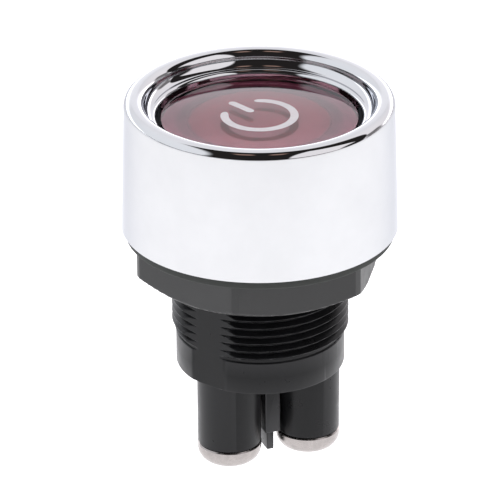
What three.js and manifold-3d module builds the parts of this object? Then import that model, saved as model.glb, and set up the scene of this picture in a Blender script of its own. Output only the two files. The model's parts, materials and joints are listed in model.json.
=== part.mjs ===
// Panel-mounted illuminated momentary push button for a 22 mm hole.
// Millimetres, +Z up along the button's axis. The origin is on that axis, in the plane where the
// gasket meets the panel. The two front terminals stand side by side along X, on the -Y side.
import * as THREE from 'three';
import Module from 'manifold-3d';
import { mergeVertices } from 'three/addons/utils/BufferGeometryUtils.js';

const wasm = await Module();
wasm.setup();

// ---- driving dimensions ----
const DEG = Math.PI / 180;
const LARGE = 36; // facets round a large piece
const SMALL = 16; // facets round a small piece
const THREAD_FACETS = 24; // facets round the barrel and its thread

const GASKET_T = 1.1; // gasket thickness, from the panel up to the bezel
const GASKET_R = 16.7;
const GASKET_HOLE_R = 11.4;

const BEZEL_FOOT_R = 17.2; // skirt radius at the gasket
const BEZEL_TOP_R = 16.7; // skirt radius below the lip
const BEZEL_TOP = 18.0; // lip height above the panel
const LIP_R = 1.0; // rounding of the lip's outer edge
const LIP_INNER_R = 15.1; // where the lip's flat ends and its inner rounding begins
const LIP_INNER_ROUND = 0.95;
const WELL_FLOOR = 16.2;
const COVE_R = 12.96; // centre line of the hollow curve between the lip and the ledge
const COVE_ROUND = 1.22;
const LEDGE_BORE_R = 12.7; // opening the lens moves through
const LEDGE_UNDER = 13.0;
const BEZEL_BORE_R = 15.0;

const CUP_R = 14.9; // barrel's cup, pressed into the bezel
const CUP_BORE_R = 13.8;
const CUP_TOP = 12.6;
const CUP_FLOOR = 3.1;
const BORE_R = 9.2; // bore of the barrel
const SHELF_TOP = -4.0; // inner shelf that carries the return spring
const SHELF_UNDER = -6.0;
const GUIDE_R = 3.6; // hole that guides the plunger

const THREAD_CREST_R = 11.0; // M22 thread
const THREAD_ROOT_R = 10.3;
const THREAD_PITCH = 1.05;
const THREAD_TURNS = 12;
const THREAD_END = -13.2;
const THREAD_FLAT = 10.15; // distance of the two side flats from the axis
const THREAD_FLAT_DIR = 30 * DEG;
const SPIGOT_R = 10.5; // plain end below the thread
const SPIGOT_END = -17.5;

const NUT_AF = 28;
const NUT_T = 5;
const NUT_BORE_R = 11.3;
const NUT_TURN = -2 * DEG; // where the first corner points
const NUT_CHAMFER_FROM = -3.7; // height of the chamfer at a corner

const PLUG_R = 9.0; // terminal base's plug in the barrel's bore
const PLUG_TOP = -14.8;
const POST_R = 4.0;
const POST_END = -26.8;
const POST_X = 5.25; // half the spacing of the two front terminals
const POST_Y = -2.8;
const REAR_POST_Y = 5.95;
const RIB_T = 2.0; // barrier rib between the front terminals
const RIB_FRONT = -4.3;
const RIB_END = -26.1;
const TONGUE_T = 0.9;
const TONGUE_FRONT = -3.4;
const TONGUE_END = -28.9;

const INSERT_R = 2.9;
const SCREW_BORE_R = 2.15;
const SCREW_BORE_TOP = -18.0;
const SCREW_R = 1.95;
const SCREW_TOP = -19.5;
const HEAD_R = 4.0;
const HEAD_T = 2.5;
const HEAD_ROUND = 1.9;

const STRIP_T = 0.6; // copper strips
const TIP_R = 1.5; // silver contact tips
const FIXED_TIP_T = 0.8;
const MOVING_TIP_T = 0.55;
const CONTACT_GAP = 1.55;
const BRIDGE_T = 0.8;
const BRIDGE_L = 14.6;
const BRIDGE_W = 4.0;

const LENS_R = 12.15;
const LENS_EDGE = 15.3; // height of the dome's edge
const LENS_CROWN = 0.65; // how far the dome rises in the middle
const LENS_FOOT = 12.95;
const LENS_WALL_R = 11.3;
const LENS_CEILING = 13.9;
const DIFFUSER_R = 8.8;

const CARRIER_R = 11.1;
const CARRIER_BORE_R = 10.1;
const CARRIER_FOOT = 5.6;
const CARRIER_FLOOR = 7.2;
const CARRIER_FLANGE_R = 13.4;
const STEM_R = 3.3;
const SHOULDER = -7.0; // lower end of the plunger's round stem
const PIN_W = 2.4; // square pin below the shoulder
const PIN_END = -12.2;

// ---- helpers ----
// A closed geometry with shared corners merged, empty triangles dropped and its faces pointing out.
function closed(source) {
  const bare = source.clone();
  bare.deleteAttribute('normal');
  bare.deleteAttribute('uv');
  const merged = mergeVertices(bare, 1e-4);
  const p = merged.attributes.position;
  const kept = [];
  for (let i = 0; i < merged.index.count; i += 3) {
    const t = [0, 1, 2].map((k) => merged.index.getX(i + k));
    if (t[0] !== t[1] && t[1] !== t[2] && t[2] !== t[0]) kept.push(t);
  }
  const [a, b, c] = [new THREE.Vector3(), new THREE.Vector3(), new THREE.Vector3()];
  let volume = 0;
  for (const t of kept) {
    a.fromBufferAttribute(p, t[0]);
    b.fromBufferAttribute(p, t[1]);
    c.fromBufferAttribute(p, t[2]);
    volume += a.dot(b.cross(c));
  }
  const order = volume < 0 ? kept.map((t) => [t[0], t[2], t[1]]) : kept;
  merged.setIndex(order.flat());
  return merged;
}

function toSolid(geometry) {
  const g = closed(geometry);
  return new wasm.Manifold(new wasm.Mesh({
    numProp: 3,
    vertProperties: new Float32Array(g.attributes.position.array),
    triVerts: new Uint32Array(g.index.array),
  }));
}

function toGeometry(solid) {
  const mesh = solid.getMesh();
  const g = new THREE.BufferGeometry();
  g.setAttribute('position', new THREE.BufferAttribute(new Float32Array(mesh.vertProperties), 3));
  g.setIndex(new THREE.BufferAttribute(new Uint32Array(mesh.triVerts), 1));
  return g;
}

const cut = (base, ...tools) => tools.reduce((s, t) => s.subtract(toSolid(t)), base);
const join = (base, ...tools) => tools.reduce((s, t) => s.add(toSolid(t)), base);

// A profile of [radius, height] pairs turned about Z. It closes on itself unless it ends on the axis.
function turned(profile, segments = LARGE) {
  const points = profile.map(([r, z]) => new THREE.Vector2(r, z));
  if (profile[0][0] !== 0) points.push(points[0].clone());
  return new THREE.LatheGeometry(points, segments).rotateX(Math.PI / 2);
}

// Points of an arc in a profile, from one angle to another.
function arc(r, z, radius, from, to, steps) {
  return Array.from({ length: steps + 1 }, (_, i) => {
    const a = (from + ((to - from) * i) / steps) * DEG;
    return [r + radius * Math.cos(a), z + radius * Math.sin(a)];
  });
}

const disc = (radius, low, high, segments = LARGE) =>
  turned([[0, low], [radius, low], [radius, high], [0, high]], segments);

const washer = (inner, outer, low, high, segments = LARGE) =>
  turned([[inner, low], [outer, low], [outer, high], [inner, high]], segments);

function box(x0, x1, y0, y1, z0, z1) {
  return new THREE.BoxGeometry(x1 - x0, y1 - y0, z1 - z0)
    .translate((x0 + x1) / 2, (y0 + y1) / 2, (z0 + z1) / 2);
}

// A flat outline raised from one height to another.
function raised(shape, low, high, curveSegments = 12) {
  return new THREE.ExtrudeGeometry(shape, { depth: high - low, bevelEnabled: false, curveSegments })
    .translate(0, 0, low);
}

// A right-handed helix about Z whose section keeps its first axis radial and its second along Z.
class Helix extends THREE.Curve {
  constructor(radius, low, high, turns) {
    super();
    Object.assign(this, { radius, low, high, turns });
  }

  getPoint(t, target = new THREE.Vector3()) {
    const a = 2 * Math.PI * this.turns * t;
    return target.set(
      this.radius * Math.cos(a),
      this.radius * Math.sin(a),
      this.low + (this.high - this.low) * t,
    );
  }

  getPointAt(t, target) {
    return this.getPoint(t, target);
  }

  computeFrenetFrames(segments) {
    const frames = { tangents: [], normals: [], binormals: [] };
    for (let i = 0; i <= segments; i += 1) {
      const a = (2 * Math.PI * this.turns * i) / segments;
      frames.tangents.push(new THREE.Vector3(-Math.sin(a), Math.cos(a), 0));
      frames.normals.push(new THREE.Vector3(Math.cos(a), Math.sin(a), 0));
      frames.binormals.push(new THREE.Vector3(0, 0, 1));
    }
    return frames;
  }
}

function swept(section, helix, perTurn) {
  return new THREE.ExtrudeGeometry(section, {
    steps: Math.round(perTurn * helix.turns),
    bevelEnabled: false,
    extrudePath: helix,
  });
}

// A coil spring that fills the height between two seats.
function coil(meanR, wireR, low, high, turns) {
  const section = new THREE.Shape();
  for (let k = 0; k < 5; k += 1) {
    const a = (k * 72 + 36) * DEG;
    section[k ? 'lineTo' : 'moveTo'](wireR * Math.cos(a), wireR * Math.sin(a));
  }
  section.closePath();
  return swept(section, new Helix(meanR, low + wireR, high - wireR, turns), 12);
}

const assembly = new THREE.Group();
assembly.name = 'push_button';

function add(parent, name, shape, color, roughness, metalness = 0) {
  const geometry = shape.isBufferGeometry ? closed(shape) : toGeometry(shape);
  geometry.computeVertexNormals();
  const material = new THREE.MeshStandardMaterial({ color, roughness, metalness });
  const mesh = new THREE.Mesh(geometry, material);
  mesh.name = name;
  parent.add(mesh);
  return mesh;
}

const BLACK = 0x232425;
const DARK = 0x2a2b29;
const CHROME = 0xe6e8ea;
const BRASS = 0xc9a24e;
const COPPER = 0xc07a4c;
const SILVER = 0xd9dadb;
const STEEL = 0xc4c2bd;

// ---- housing ----
// Chrome bezel: tapered skirt, rounded lip, recessed well with a ledge round the lens.
const bezelProfile = [
  [BEZEL_BORE_R, GASKET_T],
  [BEZEL_FOOT_R - 0.15, GASKET_T],
  [BEZEL_FOOT_R, GASKET_T + 0.15],
  ...arc(BEZEL_TOP_R - LIP_R, BEZEL_TOP - LIP_R, LIP_R, 0, 84, 4),
  [LIP_INNER_R + 0.3, BEZEL_TOP],
  ...arc(LIP_INNER_R, BEZEL_TOP - LIP_INNER_ROUND, LIP_INNER_ROUND, 98, 170, 3),
  ...arc(COVE_R, WELL_FLOOR + COVE_ROUND, COVE_ROUND, -10, -86, 3),
  [LEDGE_BORE_R + 0.2, WELL_FLOOR],
  [LEDGE_BORE_R, WELL_FLOOR - 0.2],
  [LEDGE_BORE_R, LEDGE_UNDER],
  [BEZEL_BORE_R, LEDGE_UNDER],
];
add(assembly, 'bezel', turned(bezelProfile), CHROME, 0.08, 1);

// Threaded barrel with its cup: the cup sits inside the bezel, and an inner shelf guides the plunger.
const barrelProfile = [
  [BORE_R, SPIGOT_END],
  [SPIGOT_R - 0.2, SPIGOT_END],
  [SPIGOT_R, SPIGOT_END + 0.2],
  [SPIGOT_R, THREAD_END],
  [THREAD_ROOT_R, THREAD_END],
  [THREAD_ROOT_R, GASKET_T],
  [CUP_R, GASKET_T],
  [CUP_R, CUP_TOP],
  [CUP_BORE_R, CUP_TOP],
  [CUP_BORE_R, CUP_FLOOR],
  [BORE_R, CUP_FLOOR],
  [BORE_R, SHELF_TOP],
  [GUIDE_R, SHELF_TOP],
  [GUIDE_R, SHELF_UNDER],
  [BORE_R, SHELF_UNDER],
];
const ridgeHeight = THREAD_CREST_R - THREAD_ROOT_R;
const ridge = new THREE.Shape([
  new THREE.Vector2(-0.2, -0.5),
  new THREE.Vector2(ridgeHeight, 0),
  new THREE.Vector2(-0.2, 0.5),
]);
const threadTop = THREAD_END + 0.6 + THREAD_PITCH * THREAD_TURNS;
const threadPath = new Helix(THREAD_ROOT_R, THREAD_END + 0.6, threadTop, THREAD_TURNS);
const flatTools = [0, Math.PI].map((turn) =>
  box(THREAD_FLAT, THREAD_FLAT + 5, -8, 8, SPIGOT_END - 1, GASKET_T - 0.5)
    .rotateZ(THREAD_FLAT_DIR + turn));
const stripSlot = box(-1.8, 1.8, 7.7, 8.9, SHELF_UNDER - 1, SHELF_TOP + 1);
const thread = swept(ridge, threadPath, THREAD_FACETS);
const threaded = join(toSolid(turned(barrelProfile, THREAD_FACETS)), thread);
add(assembly, 'barrel', cut(threaded, ...flatTools, stripSlot), BLACK, 0.35);

// Terminal base: a plug in the barrel's bore, three round posts and the barrier rib with its tongue.
const terminals = {
  left: [-POST_X, POST_Y],
  right: [POST_X, POST_Y],
  rear: [0, REAR_POST_Y],
};
const post = (x, y) => turned([
  [0, SPIGOT_END - 0.001],
  [POST_R, SPIGOT_END - 0.001],
  [POST_R - 0.08, POST_END + 0.3],
  [POST_R - 0.35, POST_END],
  [0, POST_END],
], SMALL).translate(x, y, 0);
const centres = Object.values(terminals);
const rib = [
  box(-RIB_T / 2, RIB_T / 2, RIB_FRONT, REAR_POST_Y - 3, RIB_END, SPIGOT_END - 0.001),
  box(-TONGUE_T / 2, TONGUE_T / 2, TONGUE_FRONT, REAR_POST_Y - 4.5, TONGUE_END, SPIGOT_END - 1),
];
const insertHoles = centres.map(([x, y]) =>
  disc(INSERT_R + 0.08, POST_END - 1, PLUG_TOP + 1, SMALL).translate(x, y, 0));
const plug = toSolid(disc(PLUG_R, SPIGOT_END - 0.05, PLUG_TOP));
const base = join(plug, ...centres.map(([x, y]) => post(x, y)), ...rib);
add(assembly, 'terminal_base', cut(base, ...insertHoles), BLACK, 0.35);

// Brass inserts, one in each post, tapped from below for the terminal screw.
for (const [side, [x, y]] of Object.entries(terminals)) {
  const insert = turned([
    [0, PLUG_TOP],
    [INSERT_R, PLUG_TOP],
    [INSERT_R, POST_END],
    [SCREW_BORE_R, POST_END],
    [SCREW_BORE_R, SCREW_BORE_TOP],
    [0, SCREW_BORE_TOP],
  ], SMALL);
  add(assembly, `terminal_insert_${side}`, insert, BRASS, 0.3, 1).position.set(x, y, 0);
}

// Fixed contacts: a copper strip from each front insert to a silver tip under the bridge.
const stripTop = PLUG_TOP + STRIP_T;
for (const [side, x] of [['left', -POST_X], ['right', POST_X]]) {
  const strip = box(x - 2, x + 2, POST_Y - 1.8, 2, PLUG_TOP, stripTop);
  add(assembly, `fixed_contact_${side}`, strip, COPPER, 0.35, 1);
  const tip = disc(TIP_R, stripTop, stripTop + FIXED_TIP_T, SMALL).translate(x, 0, 0);
  add(assembly, `fixed_tip_${side}`, tip, SILVER, 0.25, 1);
}

// Lamp feed: a strip rises from the rear insert, through the shelf, to the ring below the spring.
const feed = join(
  toSolid(box(-1.5, 1.5, 4.4, 8.6, PLUG_TOP, stripTop)),
  box(-1.5, 1.5, 8.0, 8.6, PLUG_TOP, SHELF_TOP + STRIP_T),
);
add(assembly, 'lamp_feed_strip', feed, COPPER, 0.35, 1);
const seatRing = washer(5.0, 7.9, SHELF_TOP, SHELF_TOP + STRIP_T, SMALL);
add(assembly, 'spring_seat_ring', seatRing, BRASS, 0.3, 1);

// ---- clamping: gasket and nut ----
const gasket = turned([
  [GASKET_HOLE_R, 0],
  [GASKET_R - 0.15, 0],
  [GASKET_R, 0.15],
  [GASKET_R, GASKET_T - 0.15],
  [GASKET_R - 0.15, GASKET_T],
  [GASKET_HOLE_R, GASKET_T],
]);
add(assembly, 'gasket', gasket, DARK, 0.75);

const cornerR = NUT_AF / 2 / Math.cos(30 * DEG);
const hexagon = new THREE.Shape();
for (let k = 0; k < 6; k += 1) {
  const a = NUT_TURN + k * 60 * DEG;
  hexagon[k ? 'lineTo' : 'moveTo'](cornerR * Math.cos(a), cornerR * Math.sin(a));
}
hexagon.closePath();
const chamferDrop = NUT_T + NUT_CHAMFER_FROM;
const chamferR = (cornerR - chamferDrop / Math.tan(30 * DEG)) / Math.cos(Math.PI / LARGE);
const chamferCone = turned([
  [0, 1],
  [cornerR + 1, 1],
  [cornerR + 0.02, NUT_CHAMFER_FROM],
  [chamferR, -NUT_T],
  [0, -NUT_T],
]);
const nutBore = disc(NUT_BORE_R, -NUT_T - 1, 1);
const nut = cut(toSolid(raised(hexagon, -NUT_T, 0)).intersect(toSolid(chamferCone)), nutBore);
add(assembly, 'hex_nut', nut, DARK, 0.6);

// ---- terminal screws: pan heads with a cross recess ----
const headEnd = POST_END - HEAD_T;
for (const [side, [x, y]] of Object.entries(terminals)) {
  const turnedScrew = turned([
    [0, SCREW_TOP],
    [SCREW_R - 0.3, SCREW_TOP],
    [SCREW_R, SCREW_TOP - 0.4],
    [SCREW_R, POST_END],
    [HEAD_R, POST_END],
    ...arc(HEAD_R - HEAD_ROUND, headEnd + HEAD_ROUND, HEAD_ROUND, 0, -90, 3),
    [0, headEnd],
  ], SMALL);
  const recess = [0, 90].map((turn) =>
    box(-1.7, 1.7, -0.4, 0.4, headEnd - 1, headEnd + 1.5).rotateZ(turn * DEG));
  const screw = cut(toSolid(turnedScrew), ...recess);
  add(assembly, `terminal_screw_${side}`, screw, STEEL, 0.28, 1).position.set(x, y, 0);
}

// ---- button: everything that travels when it is pressed ----
const button = new THREE.Group();
button.name = 'button';
assembly.add(button);

const dome = Array.from({ length: 4 }, (_, i) => {
  const r = ((LENS_R - 0.35) * i) / 3;
  return [r, LENS_EDGE + LENS_CROWN * (1 - (r / (LENS_R - 0.35)) ** 2)];
});
const lensProfile = [
  ...dome,
  ...arc(LENS_R - 0.35, LENS_EDGE - 0.35, 0.35, 60, 0, 2),
  [LENS_R, LENS_FOOT],
  [LENS_WALL_R, LENS_FOOT],
  [LENS_WALL_R, LENS_CEILING],
  [0, LENS_CEILING],
];
add(button, 'lens', turned(lensProfile), 0x6b1418, 0.12);

const diffuserProfile = [
  [0, LENS_CEILING - 0.7],
  [CARRIER_BORE_R - 0.1, LENS_CEILING - 0.7],
  [CARRIER_BORE_R - 0.1, LENS_CEILING - 0.3],
  [DIFFUSER_R, LENS_CEILING - 0.3],
  [DIFFUSER_R, LENS_CEILING - 0.02],
  [0, LENS_CEILING - 0.02],
];
add(button, 'diffuser', turned(diffuserProfile), 0xb9484a, 0.5);
const maskRing = washer(DIFFUSER_R + 0.05, CARRIER_R, LENS_CEILING - 0.26, LENS_CEILING - 0.02);
add(button, 'mask_ring', maskRing, 0x2a0a0c, 0.6);

const carrierProfile = [
  [2.2, CARRIER_FOOT],
  [CARRIER_R, CARRIER_FOOT],
  [CARRIER_R, 11.7],
  [CARRIER_FLANGE_R, 11.7],
  [CARRIER_FLANGE_R, LEDGE_UNDER - 0.1],
  [CARRIER_R, LEDGE_UNDER - 0.1],
  [CARRIER_R, LENS_CEILING - 0.28],
  [CARRIER_BORE_R, LENS_CEILING - 0.28],
  [CARRIER_BORE_R, CARRIER_FLOOR],
  [2.2, CARRIER_FLOOR],
];
add(button, 'button_carrier', turned(carrierProfile), BLACK, 0.45);

const boardTop = CARRIER_FLOOR + 0.8;
add(button, 'led_board', disc(CARRIER_BORE_R - 0.2, CARRIER_FLOOR, boardTop), 0x2f6b45, 0.5);
const ledProfile = [
  [0, boardTop],
  [2.9, boardTop],
  [2.9, boardTop + 1],
  [2.5, boardTop + 1],
  ...arc(0, boardTop + 2.2, 2.5, 0, 60, 3),
  [0, boardTop + 4.7],
];
add(button, 'led_lamp', turned(ledProfile, SMALL), 0xd8d4c8, 0.2);
const resistor = new THREE.CylinderGeometry(1.05, 1.05, 6, 16).rotateZ(Math.PI / 2)
  .translate(0, -6, boardTop + 1.1);
add(button, 'led_resistor', resistor, 0xc8b48a, 0.5);

// Plunger: a head under the carrier, a round stem through the shelf and a square pin for the bridge.
const stem = turned([
  [0, SHOULDER],
  [STEM_R, SHOULDER],
  [STEM_R, 4.6],
  [5.2, 4.6],
  [5.2, CARRIER_FOOT],
  [2.1, CARRIER_FOOT],
  [2.1, CARRIER_FLOOR],
  [0, CARRIER_FLOOR],
], SMALL);
const pin = box(-PIN_W / 2, PIN_W / 2, -PIN_W / 2, PIN_W / 2, PIN_END, SHOULDER + 1);
add(button, 'plunger', join(toSolid(stem), pin), 0xe4e2da, 0.5);

const springLow = SHELF_TOP + STRIP_T + 0.02;
add(button, 'return_spring', coil(6.4, 0.45, springLow, CARRIER_FOOT - 0.02, 5), STEEL, 0.3, 1);

// Moving contact: the bridge hangs on the pin, under its spring, and rests on the retaining clip.
const bridgeFoot = stripTop + FIXED_TIP_T + CONTACT_GAP + MOVING_TIP_T;
const bridgeTop = bridgeFoot + BRIDGE_T;
add(button, 'contact_spring', coil(2.5, 0.25, bridgeTop + 0.02, SHOULDER - 0.02, 4), STEEL, 0.3, 1);

const clipShape = new THREE.Shape();
clipShape.absarc(0, 0, 2.9, 30 * DEG, 330 * DEG, false);
clipShape.absarc(0, 0, 1.85, 330 * DEG, 30 * DEG, true);
clipShape.closePath();
add(button, 'retaining_clip', raised(clipShape, bridgeFoot - 0.5, bridgeFoot - 0.05), STEEL, 0.3, 1);

const bridgeShape = new THREE.Shape();
const [halfL, halfW] = [BRIDGE_L / 2, BRIDGE_W / 2];
bridgeShape.moveTo(-halfL, -halfW);
bridgeShape.lineTo(halfL, -halfW);
bridgeShape.lineTo(halfL, halfW);
bridgeShape.lineTo(-halfL, halfW);
bridgeShape.closePath();
const keyHole = new THREE.Path();
const keyHalf = PIN_W / 2 + 0.2;
keyHole.moveTo(-keyHalf, -keyHalf);
keyHole.lineTo(-keyHalf, keyHalf);
keyHole.lineTo(keyHalf, keyHalf);
keyHole.lineTo(keyHalf, -keyHalf);
keyHole.closePath();
bridgeShape.holes.push(keyHole);
add(button, 'contact_bridge', raised(bridgeShape, bridgeFoot, bridgeTop), COPPER, 0.35, 1);
for (const [side, x] of [['left', -POST_X], ['right', POST_X]]) {
  const tip = disc(TIP_R, bridgeFoot - MOVING_TIP_T, bridgeFoot, SMALL).translate(x, 0, 0);
  add(button, `moving_tip_${side}`, tip, SILVER, 0.25, 1);
}

export default assembly;
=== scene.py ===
import json
import math

import bmesh
import bpy
from mathutils import Matrix, Vector


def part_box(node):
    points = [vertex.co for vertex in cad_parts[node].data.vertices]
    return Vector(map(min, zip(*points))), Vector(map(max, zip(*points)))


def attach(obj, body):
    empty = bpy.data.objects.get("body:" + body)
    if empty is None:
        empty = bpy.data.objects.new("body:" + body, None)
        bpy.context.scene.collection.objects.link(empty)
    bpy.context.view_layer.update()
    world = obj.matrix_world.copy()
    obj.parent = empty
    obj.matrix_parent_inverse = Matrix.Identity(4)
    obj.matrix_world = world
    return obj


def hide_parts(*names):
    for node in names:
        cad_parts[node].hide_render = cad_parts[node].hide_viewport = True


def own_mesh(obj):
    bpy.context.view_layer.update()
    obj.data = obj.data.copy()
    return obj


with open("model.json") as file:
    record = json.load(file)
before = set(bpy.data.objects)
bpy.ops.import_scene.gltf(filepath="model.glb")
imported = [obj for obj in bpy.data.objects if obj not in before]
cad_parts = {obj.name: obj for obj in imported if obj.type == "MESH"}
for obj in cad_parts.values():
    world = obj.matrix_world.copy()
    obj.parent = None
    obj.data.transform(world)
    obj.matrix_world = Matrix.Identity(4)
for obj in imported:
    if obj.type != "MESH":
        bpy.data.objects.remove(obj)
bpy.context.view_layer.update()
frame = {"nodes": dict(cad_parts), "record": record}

MM = 0.001  # sizes below are in millimetres unless they say otherwise
TAU = 2 * math.pi
rad = math.radians


# ---------------------------------------------------------------- materials
def new_material(name):
    m = bpy.data.materials.new(name)
    m.use_nodes = True
    nt = m.node_tree
    nt.nodes.clear()
    out = nt.nodes.new("ShaderNodeOutputMaterial")
    bsdf = nt.nodes.new("ShaderNodeBsdfPrincipled")
    nt.links.new(bsdf.outputs["BSDF"], out.inputs["Surface"])
    return m, nt, bsdf


def noise(nt, scale, detail=3.0, rough=0.5, stretch=(1, 1, 1)):
    """3D noise in the object's own frame; scale is in cycles per metre."""
    coord = nt.nodes.new("ShaderNodeTexCoord")
    mapping = nt.nodes.new("ShaderNodeMapping")
    mapping.inputs["Scale"].default_value = stretch
    tex = nt.nodes.new("ShaderNodeTexNoise")
    tex.inputs["Scale"].default_value = scale
    tex.inputs["Detail"].default_value = detail
    tex.inputs["Roughness"].default_value = rough
    nt.links.new(coord.outputs["Object"], mapping.inputs["Vector"])
    nt.links.new(mapping.outputs["Vector"], tex.inputs["Vector"])
    return tex.outputs["Fac"]


def span(nt, source, low, high, from_low=0.3, from_high=0.7):
    """source, from its usual range, mapped to low..high."""
    r = nt.nodes.new("ShaderNodeMapRange")
    r.inputs["From Min"].default_value = from_low
    r.inputs["From Max"].default_value = from_high
    r.inputs["To Min"].default_value = low
    r.inputs["To Max"].default_value = high
    nt.links.new(source, r.inputs["Value"])
    return r.outputs["Result"]


def color_mix(nt, fac, a, b):
    """Mixes two colours, each either a plain (r, g, b) or another node's output."""
    mix = nt.nodes.new("ShaderNodeMix")
    mix.data_type = "RGBA"
    nt.links.new(fac, mix.inputs["Factor"])
    for socket, color in (("A", a), ("B", b)):
        if isinstance(color, tuple):
            mix.inputs[socket].default_value = (*color, 1)
        else:
            nt.links.new(color, mix.inputs[socket])
    return mix.outputs["Result"]


def bump(nt, bsdf, height, distance, strength):
    node = nt.nodes.new("ShaderNodeBump")
    node.inputs["Distance"].default_value = distance
    node.inputs["Strength"].default_value = strength
    nt.links.new(height, node.inputs["Height"])
    nt.links.new(node.outputs["Normal"], bsdf.inputs["Normal"])


def surface(name, dark, light, rough, metallic=0.0, patch=300, grain=5000, grain_depth=2e-6,
            grain_strength=0.3, stretch=(1, 1, 1), edge_tint=(1, 1, 1)):
    """A moulded, plated or machined finish: patchy colour, uneven gloss and a fine grain."""
    m, nt, bsdf = new_material(name)
    bsdf.inputs["Metallic"].default_value = metallic
    bsdf.inputs["Specular Tint"].default_value = (*edge_tint, 1)
    patches = noise(nt, patch, 4.0, 0.6)
    fine = noise(nt, grain, 2.0, 0.6, stretch)
    nt.links.new(color_mix(nt, span(nt, patches, 0, 1), dark, light), bsdf.inputs["Base Color"])
    nt.links.new(span(nt, patches, *rough), bsdf.inputs["Roughness"])
    bump(nt, bsdf, fine, grain_depth, grain_strength)
    return m


def edge_worn(name, base, edge, rough, grain=6000, grain_depth=4e-6, specular=0.5):
    """Dark moulded plastic whose sharp edges are rubbed a little lighter."""
    m, nt, bsdf = new_material(name)
    bsdf.inputs["Specular IOR Level"].default_value = specular
    geometry = nt.nodes.new("ShaderNodeNewGeometry")
    worn = span(nt, geometry.outputs["Pointiness"], 0, 1, 0.52, 0.62)
    patches = noise(nt, 420, 4.0, 0.6)
    fine = noise(nt, grain, 2.0, 0.65)
    lighter = tuple(c * 1.35 for c in base)
    plain = color_mix(nt, span(nt, patches, 0, 1), base, lighter)
    nt.links.new(color_mix(nt, worn, plain, edge), bsdf.inputs["Base Color"])
    nt.links.new(span(nt, patches, *rough), bsdf.inputs["Roughness"])
    bump(nt, bsdf, fine, grain_depth, 0.35)
    return m


def tinted_lens(name, dark, light, rough):
    """Clear tinted plastic with faint smears and a slightly uneven surface."""
    m, nt, bsdf = new_material(name)
    bsdf.inputs["Transmission Weight"].default_value = 1.0
    bsdf.inputs["IOR"].default_value = 1.5
    smear = noise(nt, 160, 3.0, 0.55)
    nt.links.new(color_mix(nt, span(nt, smear, 0, 1), dark, light), bsdf.inputs["Base Color"])
    nt.links.new(span(nt, smear, *rough), bsdf.inputs["Roughness"])
    bump(nt, bsdf, noise(nt, 700, 2.0), 1.5e-6, 0.2)
    return m


def distance_from_axis(nt):
    """Distance from the part's axis in metres, wandering a little so that a film's edges aren't perfect."""
    coord = nt.nodes.new("ShaderNodeTexCoord")
    flat = nt.nodes.new("ShaderNodeVectorMath")
    flat.operation = "MULTIPLY"
    flat.inputs[1].default_value = (1, 1, 0)
    reach = nt.nodes.new("ShaderNodeVectorMath")
    reach.operation = "LENGTH"
    nt.links.new(coord.outputs["Object"], flat.inputs[0])
    nt.links.new(flat.outputs["Vector"], reach.inputs[0])
    total = nt.nodes.new("ShaderNodeMath")
    nt.links.new(reach.outputs["Value"], total.inputs[0])
    nt.links.new(span(nt, noise(nt, 900, 3.0), -0.12 * MM, 0.12 * MM), total.inputs[1])
    return total.outputs["Value"]


def radial_film(name, stops, rough):
    """A film whose colour changes with distance from the axis; stops are (radius in mm, colour)."""
    m, nt, bsdf = new_material(name)
    ramp = nt.nodes.new("ShaderNodeValToRGB")
    ramp.color_ramp.interpolation = "EASE"
    elements = ramp.color_ramp.elements
    low, high = stops[0][0], stops[-1][0]
    for i, (r, color) in enumerate(stops):
        place = (r - low) / (high - low)
        stop = elements[i] if i < 2 else elements.new(place)
        stop.position = place
        stop.color = (*color, 1)
    nt.links.new(span(nt, distance_from_axis(nt), 0, 1, low * MM, high * MM), ramp.inputs["Fac"])
    nt.links.new(ramp.outputs["Color"], bsdf.inputs["Base Color"])
    nt.links.new(span(nt, noise(nt, 500), *rough), bsdf.inputs["Roughness"])
    bump(nt, bsdf, noise(nt, 5200, 2.0), 2e-6, 0.3)
    return m


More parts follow.
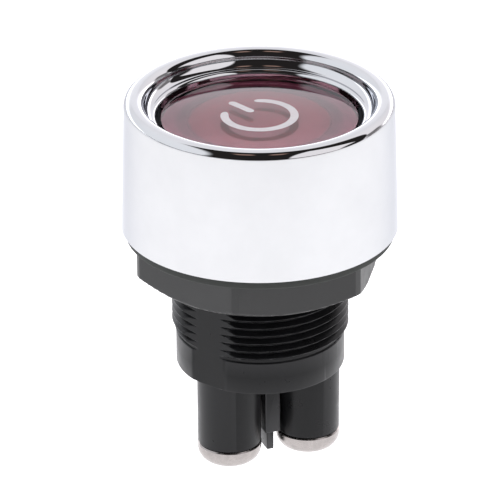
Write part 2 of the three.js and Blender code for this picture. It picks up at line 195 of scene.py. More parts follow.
MAT = {
    "chrome": surface(
        "bright_chrome", dark=(0.595, 0.60, 0.61), light=(0.63, 0.635, 0.645), rough=(0.015, 0.05),
        metallic=1.0, patch=140, grain=900, grain_depth=8e-7, grain_strength=0.25,
        edge_tint=(0.70, 0.71, 0.74)),
    "black_plastic": edge_worn(
        "moulded_black", base=(0.0062, 0.0064, 0.0070), edge=(0.055, 0.055, 0.057), rough=(0.26, 0.38),
        specular=0.22),
    "nut_plastic": edge_worn(
        "nut_black", base=(0.021, 0.0215, 0.0213), edge=(0.085, 0.085, 0.083), rough=(0.40, 0.54),
        grain=4200, grain_depth=8e-6),
    "rubber": surface(
        "gasket_rubber", dark=(0.022, 0.025, 0.022), light=(0.036, 0.040, 0.036), rough=(0.62, 0.8),
        patch=900, grain=3800, grain_depth=1.2e-5, grain_strength=0.5),
    "plated_steel": surface(
        "nickel_screw", dark=(0.33, 0.305, 0.295), light=(0.43, 0.40, 0.385), rough=(0.16, 0.34),
        metallic=1.0, patch=900, grain=2600, grain_depth=6e-6, grain_strength=0.35),
    "spring_steel": surface(
        "spring_wire", dark=(0.42, 0.42, 0.43), light=(0.58, 0.58, 0.58), rough=(0.2, 0.36), metallic=1.0,
        patch=1400, grain=7000, grain_depth=3e-6),
    "brass": surface(
        "machined_brass", dark=(0.62, 0.43, 0.16), light=(0.78, 0.58, 0.27), rough=(0.18, 0.34), metallic=1.0,
        patch=800, grain=3000, grain_depth=4e-6, stretch=(1, 1, 7)),
    "copper": surface(
        "stamped_copper", dark=(0.58, 0.28, 0.16), light=(0.76, 0.42, 0.27), rough=(0.22, 0.42), metallic=1.0,
        patch=900, grain=2400, grain_depth=4e-6, stretch=(1, 6, 1)),
    "silver": surface(
        "silver_tip", dark=(0.72, 0.71, 0.69), light=(0.86, 0.86, 0.85), rough=(0.14, 0.3), metallic=1.0,
        patch=2600, grain=5000, grain_depth=4e-6),
    "pale_red_diffuser": radial_film("milky_diffuser", stops=(
        (0, (0.42, 0.010, 0.060)),
        (6.5, (0.40, 0.009, 0.060)),
        (8.3, (0.32, 0.012, 0.060)),
        (8.9, (0.10, 0.07, 0.09)),
    ), rough=(0.4, 0.55)),
    "dark_film": radial_film("mask_film", stops=(
        (8.8, (0.07, 0.075, 0.09)),
        (9.2, (0.035, 0.075, 0.08)),
        (9.8, (0.06, 0.09, 0.11)),
        (10.6, (0.22, 0.15, 0.22)),
        (11.9, (0.25, 0.17, 0.24)),
    ), rough=(0.3, 0.45)),
    "board": surface(
        "board_green", dark=(0.03, 0.14, 0.06), light=(0.06, 0.22, 0.10), rough=(0.3, 0.45),
        patch=1500, grain=5200, grain_depth=3e-6),
    "clear_resin": surface(
        "led_resin", dark=(0.62, 0.60, 0.54), light=(0.76, 0.74, 0.68), rough=(0.08, 0.18),
        patch=900, grain=2600, grain_depth=1e-6),
    "resistor_body": surface(
        "resistor_lacquer", dark=(0.50, 0.38, 0.22), light=(0.64, 0.52, 0.34), rough=(0.25, 0.4),
        patch=2600, grain=6000, grain_depth=4e-6),
    "white_plastic": surface(
        "white_acetal", dark=(0.66, 0.65, 0.61), light=(0.76, 0.75, 0.71), rough=(0.32, 0.46),
        patch=500, grain=5200, grain_depth=3e-6),
    "red_lens": tinted_lens(
        "smoky_red_lens", dark=(0.56, 0.29, 0.35), light=(0.62, 0.34, 0.40), rough=(0.015, 0.05)),
    "mark": surface(
        "printed_mark", dark=(0.40, 0.37, 0.39), light=(0.48, 0.45, 0.47), rough=(0.4, 0.55),
        patch=2200, grain=9000, grain_depth=1e-6),
}
SLOT_OF = {s["node"]: s["material_slot"] for s in frame["record"]["subparts"]}
for node, obj in frame["nodes"].items():
    obj.data.materials.clear()
    obj.data.materials.append(MAT[SLOT_OF[node]])


# ---------------------------------------------------------------- mesh tools
def top(node):
    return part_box(node)[1].z / MM


def foot(node):
    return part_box(node)[0].z / MM


def smooth_except(bm, sharp):
    """Smooth shading, with edges above the sharp angle (degrees) kept crisp."""
    for f in bm.faces:
        f.smooth = True
    for e in bm.edges:
        if len(e.link_faces) == 2:
            e.smooth = e.calc_face_angle(0) < rad(sharp)


def new_object(name, bm):
    mesh = bpy.data.meshes.new(name)
    bm.to_mesh(mesh)
    bm.free()
    obj = bpy.data.objects.new(name, mesh)
    bpy.context.scene.collection.objects.link(obj)
    return obj


def loose(name, bm):
    """A helper object that only cuts others or is joined to them."""
    bmesh.ops.recalc_face_normals(bm, faces=bm.faces)
    return new_object(name, bm)


def piece(name, bm, slot, body, node=None, sharp=32, mat=None):
    """A finished object from bm, riding on a body and standing in for a CAD node if one is named."""
    bmesh.ops.remove_doubles(bm, verts=bm.verts, dist=1e-7)
    bmesh.ops.recalc_face_normals(bm, faces=bm.faces)
    smooth_except(bm, sharp)
    obj = new_object(name, bm)
    obj.data.materials.append(MAT[mat or slot])
    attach(obj, body)
    if node:
        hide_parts(node)
    return obj


def combine(obj, tools, operation):
    """Takes the tool objects out of obj, or joins them to it, and deletes them."""
    for tool in tools:
        mod = obj.modifiers.new("combine", "BOOLEAN")
        mod.operation = operation
        mod.solver = "EXACT"
        mod.object = tool
        bpy.context.view_layer.update()
        result = bpy.data.meshes.new_from_object(obj.evaluated_get(bpy.context.evaluated_depsgraph_get()))
        obj.modifiers.clear()
        obj.data = result
        bpy.data.objects.remove(tool)


def resharpen(obj, sharp):
    """Cleans the mesh after combine and sets its crisp edges again."""
    bm = bmesh.new()
    bm.from_mesh(obj.data)
    bmesh.ops.remove_doubles(bm, verts=bm.verts, dist=1e-7)
    smooth_except(bm, sharp)
    bm.to_mesh(obj.data)
    bm.free()


def arc(centre, radius, start, end, steps=12):
    """Points (r, z) on an arc, its angles in degrees from the outward direction."""
    turns = [rad(start + (end - start) * k / steps) for k in range(steps + 1)]
    return [Vector((centre[0] + radius * math.cos(t), centre[1] + radius * math.sin(t))) for t in turns]


def rounded(points, steps=5):
    """Profile points (r, z[, radius]), with each corner that states a radius filleted."""
    out = []
    n = len(points)
    for i, p in enumerate(points):
        radius = p[2] if len(p) > 2 else 0
        here = Vector(p[:2])
        if not radius:
            out.append(here)
            continue
        a, b = Vector(points[i - 1][:2]) - here, Vector(points[(i + 1) % n][:2]) - here
        half = a.angle(b) / 2
        reach = radius / math.tan(half)
        centre = here + (a.normalized() + b.normalized()).normalized() * (radius / math.sin(half))
        start, end = here + a.normalized() * reach, here + b.normalized() * reach
        s, e = start - centre, end - centre
        turn = s.angle_signed(e)
        for k in range(steps + 1):
            out.append(centre + Matrix.Rotation(-turn * k / steps, 2) @ s)
    return out


def ring_of(bm, angles, radii, z, centre=(0, 0)):
    """One vertex per angle, at its own radius, round a vertical line through centre."""
    return [
        bm.verts.new(((centre[0] + r * math.cos(a)) * MM, (centre[1] + r * math.sin(a)) * MM, z * MM))
        for a, r in zip(angles, radii)
    ]


def full_turn(count, start=0.0):
    return [TAU * k / count + start for k in range(count)]


def skin(bm, rings, closed=False):
    """Quads between each ring and the next, and from the last back to the first if closed."""
    following = rings[1:] + rings[:1] if closed else rings[1:]
    for a, b in zip(rings, following):
        for k in range(len(a)):
            j = (k + 1) % len(a)
            bm.faces.new((a[k], a[j], b[j], b[k]))


def fan(bm, ring, hub):
    """Triangles from a ring to one vertex on its axis."""
    for k in range(len(ring)):
        bm.faces.new((ring[k], ring[(k + 1) % len(ring)], hub))


def revolve(bm, profile, segments, centre=(0, 0)):
    """Turns a profile of (r, z) about the vertical line through centre. It starts and ends on the
    line, or closes on itself."""
    angles = full_turn(segments)
    on_axis = profile[0][0] == 0
    off_axis = profile[1:-1] if on_axis else profile
    rings = [ring_of(bm, angles, [r] * segments, z, centre) for r, z in off_axis]
    if on_axis:
        for ring, (_, z) in ((rings[0], profile[0]), (rings[-1], profile[-1])):
            fan(bm, ring, bm.verts.new((centre[0] * MM, centre[1] * MM, z * MM)))
    skin(bm, rings, closed=not on_axis)


def turned(name, profile, slot, body, node, segments=256, sharp=32):
    bm = bmesh.new()
    revolve(bm, rounded(profile), segments)
    return piece(name, bm, slot, body, node, sharp)


def block(x0, x1, y0, y1, z0, z1, turn=0.0, offset=(0, 0)):
    """A box, turned about the vertical through its frame's origin and then moved sideways."""
    bm = bmesh.new()
    bmesh.ops.create_cube(bm, size=1)
    for v in bm.verts:
        x = (x0 + x1) / 2 + v.co.x * (x1 - x0)
        y = (y0 + y1) / 2 + v.co.y * (y1 - y0)
        z = (z0 + z1) / 2 + v.co.z * (z1 - z0)
        v.co = Vector((
            (offset[0] + x * math.cos(turn) - y * math.sin(turn)) * MM,
            (offset[1] + x * math.sin(turn) + y * math.cos(turn)) * MM,
            z * MM,
        ))
    return bm


def smooth(x):
    """0 to 1 with soft ends, as x goes from 0 to 1."""
    x = min(max(x, 0), 1)
    return x * x * (3 - 2 * x)


# ---------------------------------------------------------------- chrome bezel
BEZEL_TOP, BEZEL_FOOT = top("bezel"), foot("bezel")
SKIRT_FOOT_R = 17.2
SKIRT_LEAN = (16.95, 9.5)  # a point on the skirt, which leans in a little as it rises
LIP_OUTER_R, LIP_OUTER_ROUND = 15.7, 1.0
LIP_INNER_R, LIP_INNER_ROUND = 15.1, 0.95
LEDGE, LEDGE_BORE_R, LEDGE_ROUND = 16.0, 12.7, 0.45
COVE_R, COVE_WIDTH, COVE_DEPTH = 13.2, 0.96, 1.25
SOCKET_R, SOCKET_TOP = 15.0, 13.0


def bezel_profile():
    """Skirt, rounded lip, hollow cove inside it, and the ledge that the lens moves through."""
    skirt = rounded([
        (SOCKET_R, SOCKET_TOP), (SOCKET_R, BEZEL_FOOT, 0.1), (SKIRT_FOOT_R, BEZEL_FOOT, 0.15), SKIRT_LEAN,
    ], 4)[:-1]
    outer_lip = arc((LIP_OUTER_R, BEZEL_TOP - LIP_OUTER_ROUND), LIP_OUTER_ROUND, 2, 90, 20)
    inner_lip = arc((LIP_INNER_R, BEZEL_TOP - LIP_INNER_ROUND), LIP_INNER_ROUND, 90, 170, 20)
    cove = [
        Vector((COVE_R + COVE_WIDTH * math.cos(rad(t)), LEDGE + COVE_DEPTH * (1 - math.sin(rad(t)))))
        for t in range(8, 90, 4)
    ]
    cove.append(Vector((COVE_R, LEDGE)))
    ledge = arc((LEDGE_BORE_R + LEDGE_ROUND, LEDGE - LEDGE_ROUND), LEDGE_ROUND, 90, 180)
    return skirt + outer_lip + inner_lip + cove + ledge + [Vector((LEDGE_BORE_R, SOCKET_TOP))]


bm = bmesh.new()
revolve(bm, bezel_profile(), 384)
piece("bezel_shell", bm, "chrome", "housing", "bezel", sharp=40)

# ---------------------------------------------------------------- lens and what shows through it
LENS_R, LENS_WALL_R, LENS_EDGE, LENS_CROWN = 12.15, 11.95, 15.42, 0.26
LENS_CEILING, LENS_FOOT = 13.9, foot("lens")
LENS_EDGE_ROUND = 0.10
DOME_R = 12.03
DOME_STEPS = 14
FILM_TOP = LENS_CEILING - 0.02  # the diffuser and the mask lie just under the lens
DIFFUSER_R, DIFFUSER_FOOT, FLANGE_R, FLANGE_TOP = 8.8, 13.2, 10.0, 13.6
MASK_R, MASK_BORE_R, MASK_FOOT = 11.9, 8.86, 13.64


def dome_z(r):
    return LENS_EDGE + LENS_CROWN * (1 - (r / DOME_R) ** 2)


def lens_profile():
    radii = [DOME_R * i / DOME_STEPS for i in range(DOME_STEPS + 1)]
    wall = rounded([
        (DOME_R, LENS_EDGE), (LENS_R, LENS_EDGE - 0.02, LENS_EDGE_ROUND), (LENS_R, LENS_FOOT, 0.05),
        (LENS_WALL_R, LENS_FOOT),
    ], 6)[1:]
    return [Vector((r, dome_z(r))) for r in radii] + wall + [
        Vector((LENS_WALL_R, LENS_CEILING)), Vector((0, LENS_CEILING))]


bm = bmesh.new()
revolve(bm, lens_profile(), 256)
piece("lens_cap", bm, "red_lens", "button", "lens", sharp=45)

turned("diffuser_disc", [
    (0, DIFFUSER_FOOT), (FLANGE_R, DIFFUSER_FOOT, 0.05), (FLANGE_R, FLANGE_TOP, 0.05),
    (DIFFUSER_R, FLANGE_TOP), (DIFFUSER_R, FILM_TOP, 0.05), (0, FILM_TOP),
], "pale_red_diffuser", "button", "diffuser", segments=192, sharp=50)
turned("mask_film_ring", [
    (MASK_BORE_R, MASK_FOOT), (MASK_R, MASK_FOOT, 0.04), (MASK_R, FILM_TOP, 0.04), (MASK_BORE_R, FILM_TOP),
], "dark_film", "button", "mask_ring", segments=192)

# ---------------------------------------------------------------- generic power mark, printed on the dome
RING_R, STROKE, OPENING, MARK_TURN = 4.3, 1.0, rad(34), rad(21.6)
BAR_START, BAR_LENGTH = 1.2, 4.2
INK_UNDER, INK_OVER = -0.004, 0.012  # the ink's lower and upper faces, from the dome's surface
RING_STEPS, RING_END_STEPS = 96, 4
BAR_STEPS, BAR_END_STEPS = 24, 3
ACROSS = (-1, -0.5, 0, 0.5, 1)


def half_stroke(step, steps, end_steps):
    """Half of the stroke's width, which rounds off over the last steps at both ends."""
    t = step / steps
    end = min(t, 1 - t) * steps / end_steps
    return STROKE / 2 * math.sqrt(max(0.06, 1 - max(0, 1 - end) ** 2))


def ring_column(step):
    a = math.pi / 2 + OPENING + (TAU - 2 * OPENING) * step / RING_STEPS
    half = half_stroke(step, RING_STEPS, RING_END_STEPS)
    return [((RING_R + half * u) * math.cos(a), (RING_R + half * u) * math.sin(a)) for u in ACROSS]


def bar_column(step):
    half = half_stroke(step, BAR_STEPS, BAR_END_STEPS)
    return [(-half * u, BAR_START + BAR_LENGTH * step / BAR_STEPS) for u in ACROSS]


def ink_row(bm, column, lift):
    """The vertices of one column of points (x, y), turned with the mark and laid on the dome."""
    c, s = math.cos(MARK_TURN), math.sin(MARK_TURN)
    return [
        bm.verts.new(((x * c - y * s) * MM, (x * s + y * c) * MM, (dome_z(math.hypot(x, y)) + lift) * MM))
        for x, y in column
    ]


def ink_strip(bm, columns):
    """A thin closed strip that follows the dome."""
    low = [ink_row(bm, column, INK_UNDER) for column in columns]
    high = [ink_row(bm, column, INK_OVER) for column in columns]
    last = len(ACROSS) - 1
    for i in range(len(columns) - 1):
        for j in range(last):
            bm.faces.new((high[i][j], high[i + 1][j], high[i + 1][j + 1], high[i][j + 1]))
            bm.faces.new((low[i][j], low[i][j + 1], low[i + 1][j + 1], low[i + 1][j]))
        bm.faces.new((high[i][0], low[i][0], low[i + 1][0], high[i + 1][0]))
        bm.faces.new((high[i + 1][last], low[i + 1][last], low[i][last], high[i][last]))
    for i in (0, -1):
        for j in range(last):
            bm.faces.new((high[i][j], high[i][j + 1], low[i][j + 1], low[i][j]))


bm = bmesh.new()
ink_strip(bm, [ring_column(step) for step in range(RING_STEPS + 1)])
ink_strip(bm, [bar_column(step) for step in range(BAR_STEPS + 1)])
piece("power_mark", bm, "white_plastic", "button", mat="mark", sharp=60)

# ---------------------------------------------------------------- gasket and nut
GASKET_TOP, GASKET_R, GASKET_BORE_R, GASKET_ROUND = 1.1, 16.7, 11.4, 0.22
turned("gasket_ring", [
    (GASKET_BORE_R, 0), (GASKET_R, 0, GASKET_ROUND), (GASKET_R, GASKET_TOP, GASKET_ROUND),
    (GASKET_BORE_R, GASKET_TOP),
], "rubber", "gasket", "gasket", segments=256)

NUT_FOOT, NUT_TOP = foot("hex_nut"), top("hex_nut")
NUT_INRADIUS, NUT_TURN = 14.0, rad(-2)
NUT_CORNER_R = NUT_INRADIUS / math.cos(rad(30)) - 0.28  # the corners are slightly broken
NUT_CHAMFER_R, NUT_CHAMFER_SLOPE = 13.92, rad(30)
NUT_EDGE_BREAK = 0.08
NUT_BORE_R, NUT_BORE_MOUTH_R, NUT_BORE_CHAMFER = 11.3, 11.75, 0.5
NUT_LEVELS, NUT_SEGMENTS = 26, 432


def hex_radius(angle):
    """Distance from the axis to the hexagon's side at an angle."""
    a = (angle - NUT_TURN) % rad(60) - rad(30)
    return min(NUT_INRADIUS / math.cos(a), NUT_CORNER_R)


def nut_radius(angle, z):
    """The hexagon, cut by the cone that chamfers the nut's lower side."""
    cone = NUT_CHAMFER_R + (z - NUT_FOOT) / math.tan(NUT_CHAMFER_SLOPE)
    return min(hex_radius(angle), cone)


def build_nut(bm):
    angles = full_turn(NUT_SEGMENTS, NUT_TURN)
    step = (NUT_FOOT - NUT_TOP) / NUT_LEVELS
    heights = [NUT_TOP - NUT_EDGE_BREAK] + [NUT_TOP + step * i for i in range(1, NUT_LEVELS + 1)]
    rings = [ring_of(bm, angles, [nut_radius(a, NUT_TOP) - NUT_EDGE_BREAK for a in angles], NUT_TOP)]
    rings += [ring_of(bm, angles, [nut_radius(a, z) for a in angles], z) for z in heights]
    for r, z in (
        (NUT_BORE_MOUTH_R, NUT_FOOT), (NUT_BORE_R, NUT_FOOT + NUT_BORE_CHAMFER),
        (NUT_BORE_R, NUT_TOP - NUT_BORE_CHAMFER), (NUT_BORE_MOUTH_R, NUT_TOP),
    ):
        rings.append(ring_of(bm, angles, [r] * NUT_SEGMENTS, z))
    skin(bm, rings, closed=True)


bm = bmesh.new()
build_nut(bm)
piece("lock_nut", bm, "nut_plastic", "nut", "hex_nut", sharp=24)

# ---------------------------------------------------------------- threaded barrel
CREST_R, ROOT_R, PITCH = 11.0, 10.3, 1.05
FLAT_R, FLAT_DIRECTION = 10.15, rad(30)
SPIGOT_R, SPIGOT_MIDDLE = 10.5, -15.3
THREAD_FOOT, BARREL_FOOT = -13.2, foot("barrel")
THREAD_FADE_START, THREAD_FADE = 0.25, 0.7
THREAD_LEVELS, BARREL_SEGMENTS = 320, 360


def flat_limit(angle):
    """How far from the axis the side flats let the surface reach at an angle."""
    c = abs(math.cos(angle - FLAT_DIRECTION))
    return FLAT_R / c if c > 1e-6 else math.inf


def thread_radius(angle, z):
    """Right-handed V thread with narrow rounded crests, fading out at its lower end."""
    phase = (z / PITCH - angle / TAU) % 1.0
    tooth = 1 - abs(phase - 0.5) / 0.46
    rise = 0.0 if tooth <= 0 else min(1.0, tooth ** 0.92 * 1.07)
    return ROOT_R + (CREST_R - ROOT_R) * rise * smooth((z - THREAD_FOOT - THREAD_FADE_START) / THREAD_FADE)


BORE_R, MOUTH_BREAK = 9.2, 0.15
WEB_FOOT, WEB_TOP, GUIDE_R, GUIDE_BREAK = -6.0, -4.0, 3.6, 0.2
COLLAR_R, COLLAR_BORE_R, COLLAR_FLOOR, COLLAR_TOP, COLLAR_BREAK = 14.9, 13.8, 3.1, 12.6, 0.15
SPIGOT_PROFILE = (
    (SPIGOT_R - 0.12, THREAD_FOOT), (SPIGOT_R, THREAD_FOOT - 0.12), (SPIGOT_R, SPIGOT_MIDDLE),
    (SPIGOT_R, BARREL_FOOT + 0.22), (SPIGOT_R - 0.06, BARREL_FOOT + 0.07), (SPIGOT_R - 0.24, BARREL_FOOT),
)
# From the mouth up the bore, round the web that guides the plunger, and over the collar inside the bezel.
INNER_PROFILE = (
    (BORE_R + MOUTH_BREAK, BARREL_FOOT), (BORE_R, BARREL_FOOT + MOUTH_BREAK),
    (BORE_R, WEB_FOOT), (GUIDE_R + GUIDE_BREAK, WEB_FOOT), (GUIDE_R, WEB_FOOT + GUIDE_BREAK),
    (GUIDE_R, WEB_TOP - GUIDE_BREAK), (GUIDE_R + GUIDE_BREAK, WEB_TOP), (BORE_R, WEB_TOP),
    (BORE_R, COLLAR_FLOOR), (COLLAR_BORE_R, COLLAR_FLOOR), (COLLAR_BORE_R, COLLAR_TOP - COLLAR_BREAK),
    (COLLAR_BORE_R + COLLAR_BREAK, COLLAR_TOP), (COLLAR_R - COLLAR_BREAK, COLLAR_TOP),
    (COLLAR_R, COLLAR_TOP - COLLAR_BREAK), (COLLAR_R, GASKET_TOP + COLLAR_BREAK),
    (COLLAR_R - COLLAR_BREAK, GASKET_TOP), (ROOT_R, GASKET_TOP),
)


def build_barrel(bm):
    angles = full_turn(BARREL_SEGMENTS)
    limits = [flat_limit(a) for a in angles]
    rings = []
    for i in range(THREAD_LEVELS + 1):
        z = THREAD_FOOT * i / THREAD_LEVELS
        rings.append(ring_of(bm, angles, [min(thread_radius(a, z), m) for a, m in zip(angles, limits)], z))
    for r, z in SPIGOT_PROFILE:
        rings.append(ring_of(bm, angles, [min(r, m) for m in limits], z))
    for r, z in INNER_PROFILE:
        rings.append(ring_of(bm, angles, [r] * BARREL_SEGMENTS, z))
    skin(bm, rings, closed=True)


bm = bmesh.new()
build_barrel(bm)
barrel = piece("threaded_barrel", bm, "black_plastic", "housing", "barrel", sharp=30)
combine(barrel, [loose("strip_slot", block(-1.8, 1.8, 7.7, 8.9, -7, -3))], "DIFFERENCE")
resharpen(barrel, 30)

# ---------------------------------------------------------------- terminal base
POST_R, POST_FOOT, POST_ROUND = 4.0, -26.8, 0.32
PLATE_R, PLATE_FOOT, PLATE_TOP = 9.0, -17.5, -14.8
INSERT_HOLE_R = 2.98
RIB = (1.0, -4.3, 2.95, -26.1, -17.3)  # half width, y from and to, z from and to
TONGUE = (0.45, -3.4, 1.45, -28.9, -17.3)
POSTS = {}
for side in ("left", "right", "rear"):
    low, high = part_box(f"terminal_screw_{side}")
    POSTS[side] = ((low.x + high.x) / 2 / MM, (low.y + high.y) / 2 / MM)


def post_tool(side, centre):
    bm = bmesh.new()
    revolve(bm, rounded([
        (0, PLATE_FOOT + 0.5), (POST_R - 0.4, PLATE_FOOT + 0.5), (POST_R - 0.4, PLATE_FOOT),
        (POST_R, PLATE_FOOT), (POST_R - 0.06, POST_FOOT, POST_ROUND), (0, POST_FOOT),
    ], 6), 128, centre)
    return loose(f"post_{side}", bm)


def rib_tool(half, y0, y1, z0, z1):
    bm = block(-half, half, y0, y1, z0, z1)
    bmesh.ops.bevel(bm, geom=bm.edges[:], offset=0.12 * MM, segments=3, affect="EDGES", profile=0.5)
    return loose("rib", bm)


def hole_tool(centre):
    bm = bmesh.new()
    low, high = POST_FOOT - 1.2, PLATE_TOP + 0.8
    revolve(bm, [(0, low), (INSERT_HOLE_R, low), (INSERT_HOLE_R, high), (0, high)], 64, centre)
    return loose("hole", bm)


bm = bmesh.new()
revolve(bm, rounded([
    (0, PLATE_FOOT), (PLATE_R, PLATE_FOOT, 0.1), (PLATE_R, PLATE_TOP, 0.1), (0, PLATE_TOP),
], 3), 160)
base = piece("terminal_block", bm, "black_plastic", "housing", "terminal_base")
combine(base, [post_tool(*post) for post in POSTS.items()] + [rib_tool(*RIB), rib_tool(*TONGUE)], "UNION")
combine(base, [hole_tool(centre) for centre in POSTS.values()], "DIFFERENCE")
resharpen(base, 32)

# ---------------------------------------------------------------- terminal screws
SHANK_TOP, SHANK_CREST_R, SHANK_ROOT_R, SHANK_PITCH = -19.5, 1.95, 1.62, 0.7
SHANK_POINT_R, SHANK_POINT_SLOPE = 1.4, 0.9
SHANK_LEVELS, SCREW_SEGMENTS = 105, 96
HEAD_FOOT = foot("terminal_screw_left")
HEAD_R, HEAD_ROUND, HEAD_BREAK = 4.0, 1.9, 0.14
RECESS_LENGTH, RECESS_WIDTH, RECESS_DEPTH, RECESS_TURN = 3.4, 0.8, 1.5, 20


def shank_radius(angle, z):
    """Coarse M4 thread with a chamfered start and a plain neck under the head."""
    phase = (z / SHANK_PITCH - angle / TAU) % 1.0
    tooth = max(0.0, 1 - abs(phase - 0.5) / 0.45)
    rise = min(1.0, tooth * 1.15) * smooth((z - POST_FOOT - 0.3) / 0.5)
    point = SHANK_POINT_R + (SHANK_TOP - z) * SHANK_POINT_SLOPE
    return min(SHANK_ROOT_R + (SHANK_CREST_R - SHANK_ROOT_R) * rise, point)


def build_screw(bm, centre):
    """Threaded shank and pan head, from the shank's point down to the head's flat."""
    angles = full_turn(SCREW_SEGMENTS)
    rings = []
    for i in range(SHANK_LEVELS + 1):
        z = SHANK_TOP + (POST_FOOT - SHANK_TOP) * i / SHANK_LEVELS
        rings.append(ring_of(bm, angles, [shank_radius(a, z) for a in angles], z, centre))
    head = [(HEAD_R - 0.15, POST_FOOT), (HEAD_R, POST_FOOT - HEAD_BREAK)]
    head += arc((HEAD_R - HEAD_ROUND, HEAD_FOOT + HEAD_ROUND), HEAD_ROUND, 0, -90, 15)
    for r, z in head:
        rings.append(ring_of(bm, angles, [r] * SCREW_SEGMENTS, z, centre))
    skin(bm, rings)
    for ring in (rings[0], rings[-1]):
        fan(bm, ring, bm.verts.new((centre[0] * MM, centre[1] * MM, ring[0].co.z)))


def recess_tool(centre, turn):
    x, y = RECESS_LENGTH / 2, RECESS_WIDTH / 2
    return loose("recess", block(-x, x, -y, y, HEAD_FOOT - 1, HEAD_FOOT + RECESS_DEPTH, rad(turn), centre))


for side, centre in POSTS.items():
    bm = bmesh.new()
    build_screw(bm, centre)
    screw = piece(f"screw_{side}", bm, "plated_steel", f"screw_{side}", f"terminal_screw_{side}", sharp=34)
    combine(screw, [recess_tool(centre, RECESS_TURN + t) for t in (0, 90)], "DIFFERENCE")
    resharpen(screw, 34)

# ---------------------------------------------------------------- springs
STEPS_PER_TURN, WIRE_SIDES = 40, 12


def spring(name, node, mean_r, wire_r, turns, body):
    """A coil as tall as its CAD node."""
    low, high = foot(node), top(node)
    steps = turns * STEPS_PER_TURN
    around_wire = full_turn(WIRE_SIDES)
    bm = bmesh.new()
    rings = []
    for i in range(steps + 1):
        t = i / steps
        a = TAU * turns * t
        z = low + wire_r + (high - low - 2 * wire_r) * t
        ring = []
        for s in around_wire:
            r, height = mean_r + wire_r * math.cos(s), z + wire_r * math.sin(s)
            ring.append(bm.verts.new((r * math.cos(a) * MM, r * math.sin(a) * MM, height * MM)))
        rings.append(ring)
    skin(bm, rings)
    bm.faces.new(rings[0][::-1])
    bm.faces.new(rings[-1])
    obj = piece(name, bm, "spring_steel", body, node, sharp=50)
    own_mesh(obj)


spring("return_coil", "return_spring", mean_r=6.4, wire_r=0.45, turns=5,
       body="housing")
spring("contact_coil", "contact_spring", mean_r=2.5, wire_r=0.25, turns=4,
       body="button")

# ---------------------------------------------------------------- camera
AZIMUTH, ELEVATION, ROLL = rad(-20.9), rad(25.8), rad(0.26)
DISTANCE, FOCAL_LENGTH = 0.700, 406.6  # metres, and mm on a 36 mm sensor
AIM_Z, AIM_LEFT = -2.7, 1.24

back = Vector((
    math.sin(AZIMUTH) * math.cos(ELEVATION), -math.cos(AZIMUTH) * math.cos(ELEVATION), math.sin(ELEVATION)))
right = Vector((math.cos(AZIMUTH), math.sin(AZIMUTH), 0))


def add_camera():
    data = bpy.data.cameras.new("camera")
    data.sensor_width = 36
    data.lens = FOCAL_LENGTH
    data.clip_start = 0.01
    cam = bpy.data.objects.new("camera", data)
    bpy.context.scene.collection.objects.link(cam)
    x_axis = right * math.cos(ROLL) - back.cross(right) * math.sin(ROLL)
    y_axis = back.cross(x_axis)
    place = Vector((0, 0, AIM_Z * MM)) - right * AIM_LEFT * MM + back * DISTANCE
    cam.matrix_world = Matrix.Translation(place) @ Matrix((x_axis, y_axis, back)).transposed().to_4x4()
    bpy.context.scene.camera = cam


add_camera()


# ---------------------------------------------------------------- stage and light
def floor_material():
    """A pale matt floor that can't be seen from below."""
    m, nt, bsdf = new_material("pale_floor")
    bsdf.inputs["Base Color"].default_value = (0.9, 0.9, 0.91, 1)
    bsdf.inputs["Emission Color"].default_value = (1, 1, 1, 1)
    bsdf.inputs["Emission Strength"].default_value = 0.4
    bsdf.inputs["Roughness"].default_value = 0.9
    bsdf.inputs["Specular IOR Level"].default_value = 0.1
    geometry = nt.nodes.new("ShaderNodeNewGeometry")
    clear = nt.nodes.new("ShaderNodeBsdfTransparent")
    either = nt.nodes.new("ShaderNodeMixShader")
    nt.links.new(geometry.outputs["Backfacing"], either.inputs["Fac"])
    nt.links.new(bsdf.outputs["BSDF"], either.inputs[1])
    nt.links.new(clear.outputs["BSDF"], either.inputs[2])
    nt.links.new(either.outputs["Shader"], nt.nodes["Material Output"].inputs["Surface"])
    return m


def add_floor(height, half_size):
    """height and half_size are in metres."""
    bm = bmesh.new()
    bmesh.ops.create_grid(bm, x_segments=8, y_segments=8, size=half_size)
    for v in bm.verts:
        v.co.z = height
    floor = new_object("floor", bm)
    floor.data.materials.append(floor_material())


add_floor(-0.16, 3.0)

SKY, LOW_BACK_GLOW, BACKDROP = 1.22, 2.3, 1.1
SKY_LEFT, SKY_RIGHT = (0.93, 0.95, 1.0), (1.0, 0.96, 0.99)
DARK, LAMP = (0.020, 0.018, 0.018), (0.36, 0.23, 0.19)

world = bpy.data.worlds.new("studio")
bpy.context.scene.world = world
world.use_nodes = True
wn = world.node_tree
wn.nodes.clear()
direction = wn.nodes.new("ShaderNodeTexCoord").outputs["Generated"]


def along(vector):
    """How far the direction looked in points along a vector."""
    n = wn.nodes.new("ShaderNodeVectorMath")
    n.operation = "DOT_PRODUCT"
    wn.links.new(direction, n.inputs[0])
    n.inputs[1].default_value = vector
    return n.outputs["Value"]


def calc(operation, *values):
    n = wn.nodes.new("ShaderNodeMath")
    n.operation = operation
    for socket, value in zip(n.inputs, values):
        if isinstance(value, (int, float)):
            socket.default_value = value
        else:
            wn.links.new(value, socket)
    return n.outputs["Value"]


def soft_step(source, low, high):
    n = wn.nodes.new("ShaderNodeMapRange")
    n.interpolation_type = "SMOOTHSTEP"
    n.inputs["From Min"].default_value = low
    n.inputs["From Max"].default_value = high
    wn.links.new(source, n.inputs["Value"])
    return n.outputs["Result"]


def minus(a, b):
    return calc("SUBTRACT", a, b)


def times(a, b):
    return calc("MULTIPLY", a, b)


def either_of(a, b):
    return calc("MAXIMUM", a, b)


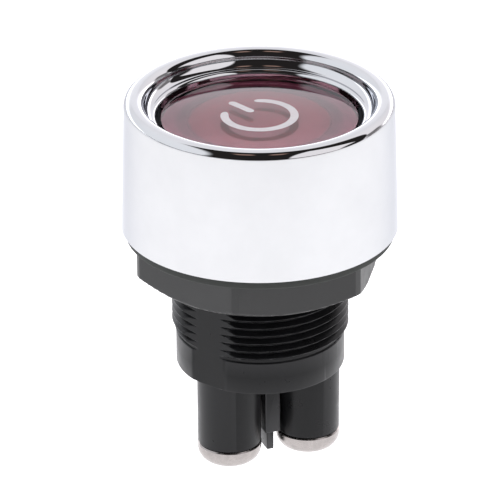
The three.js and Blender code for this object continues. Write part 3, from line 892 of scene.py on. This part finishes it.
def band(source, low, high, blur):
    """1 between low and high, fading over blur at both ends."""
    rise = soft_step(source, low - blur / 2, low + blur / 2)
    fall = minus(1.0, soft_step(source, high - blur / 2, high + blur / 2))
    return times(rise, fall)


def sky_color():
    """A bright room, with a dark ceiling from the camera's side to past the zenith, two soft boxes in it,
    a thin dark horizon, a dark flag at the right and two dim warm lamps."""
    ceiling = band(over, rad(3), rad(119), rad(3))
    right_box = times(band(over, rad(9), rad(84), rad(3)), band(side, 0.40, 0.93, 0.05))
    slant = calc("ADD", side, times(over, -0.2))
    left_box = times(soft_step(over, rad(8), rad(11)), minus(1.0, soft_step(slant, -0.81, -0.69)))
    horizon = band(height, 0.015, 0.08, 0.03)
    azimuth = calc("ARCTAN2", side, front)
    flag = times(band(azimuth, rad(98), rad(122), rad(8)), band(height, 0.0, 0.42, 0.1))
    dark = either_of(
        times(ceiling, minus(1.0, either_of(right_box, left_box))),
        either_of(horizon, times(flag, 0.8)),
    )
    lamps = times(
        band(over, rad(74), rad(88), rad(8)),
        either_of(band(side, -0.20, -0.05, 0.06), band(side, 0.09, 0.21, 0.06)),
    )
    tint = color_mix(wn, soft_step(side, -0.9, 0.9), SKY_LEFT, SKY_RIGHT)
    return color_mix(wn, lamps, color_mix(wn, dark, tint, DARK), LAMP)


def background():
    return wn.nodes.new("ShaderNodeBackground")


height = along((0, 0, 1))
front = along(Vector((back.x, back.y, 0)).normalized())
side = along(right)
over = calc("ARCTAN2", height, front)  # 0 at the front horizon, pi at the back one

sky = background()
wn.links.new(sky_color(), sky.inputs["Color"])
low_back = times(soft_step(over, rad(153), rad(168)), LOW_BACK_GLOW)
wn.links.new(calc("ADD", low_back, SKY), sky.inputs["Strength"])

# The camera itself sees a plain white backdrop.
backdrop = background()
backdrop.inputs["Color"].default_value = (1, 1, 1, 1)
backdrop.inputs["Strength"].default_value = BACKDROP
seen = wn.nodes.new("ShaderNodeLightPath")
pick = wn.nodes.new("ShaderNodeMixShader")
out = wn.nodes.new("ShaderNodeOutputWorld")
wn.links.new(seen.outputs["Is Camera Ray"], pick.inputs["Fac"])
wn.links.new(sky.outputs["Background"], pick.inputs[1])
wn.links.new(backdrop.outputs["Background"], pick.inputs[2])
wn.links.new(pick.outputs["Shader"], out.inputs["Surface"])


def add_overhead_light(place, size, power):
    """A round lamp aimed at the part; place and size are in metres. Reflections don't show it."""
    data = bpy.data.lights.new("overhead", "AREA")
    data.shape = "DISK"
    data.size = size
    data.energy = power
    obj = bpy.data.objects.new("overhead", data)
    obj.location = place
    obj.rotation_euler = (-Vector(place)).to_track_quat("-Z", "Y").to_euler()
    obj.visible_glossy = False
    bpy.context.scene.collection.objects.link(obj)


add_overhead_light((0.1, 0.1, 1.2), 1.4, 14)
bpy.context.scene.view_settings.view_transform = "Standard"
bpy.context.scene.view_settings.look = "None"
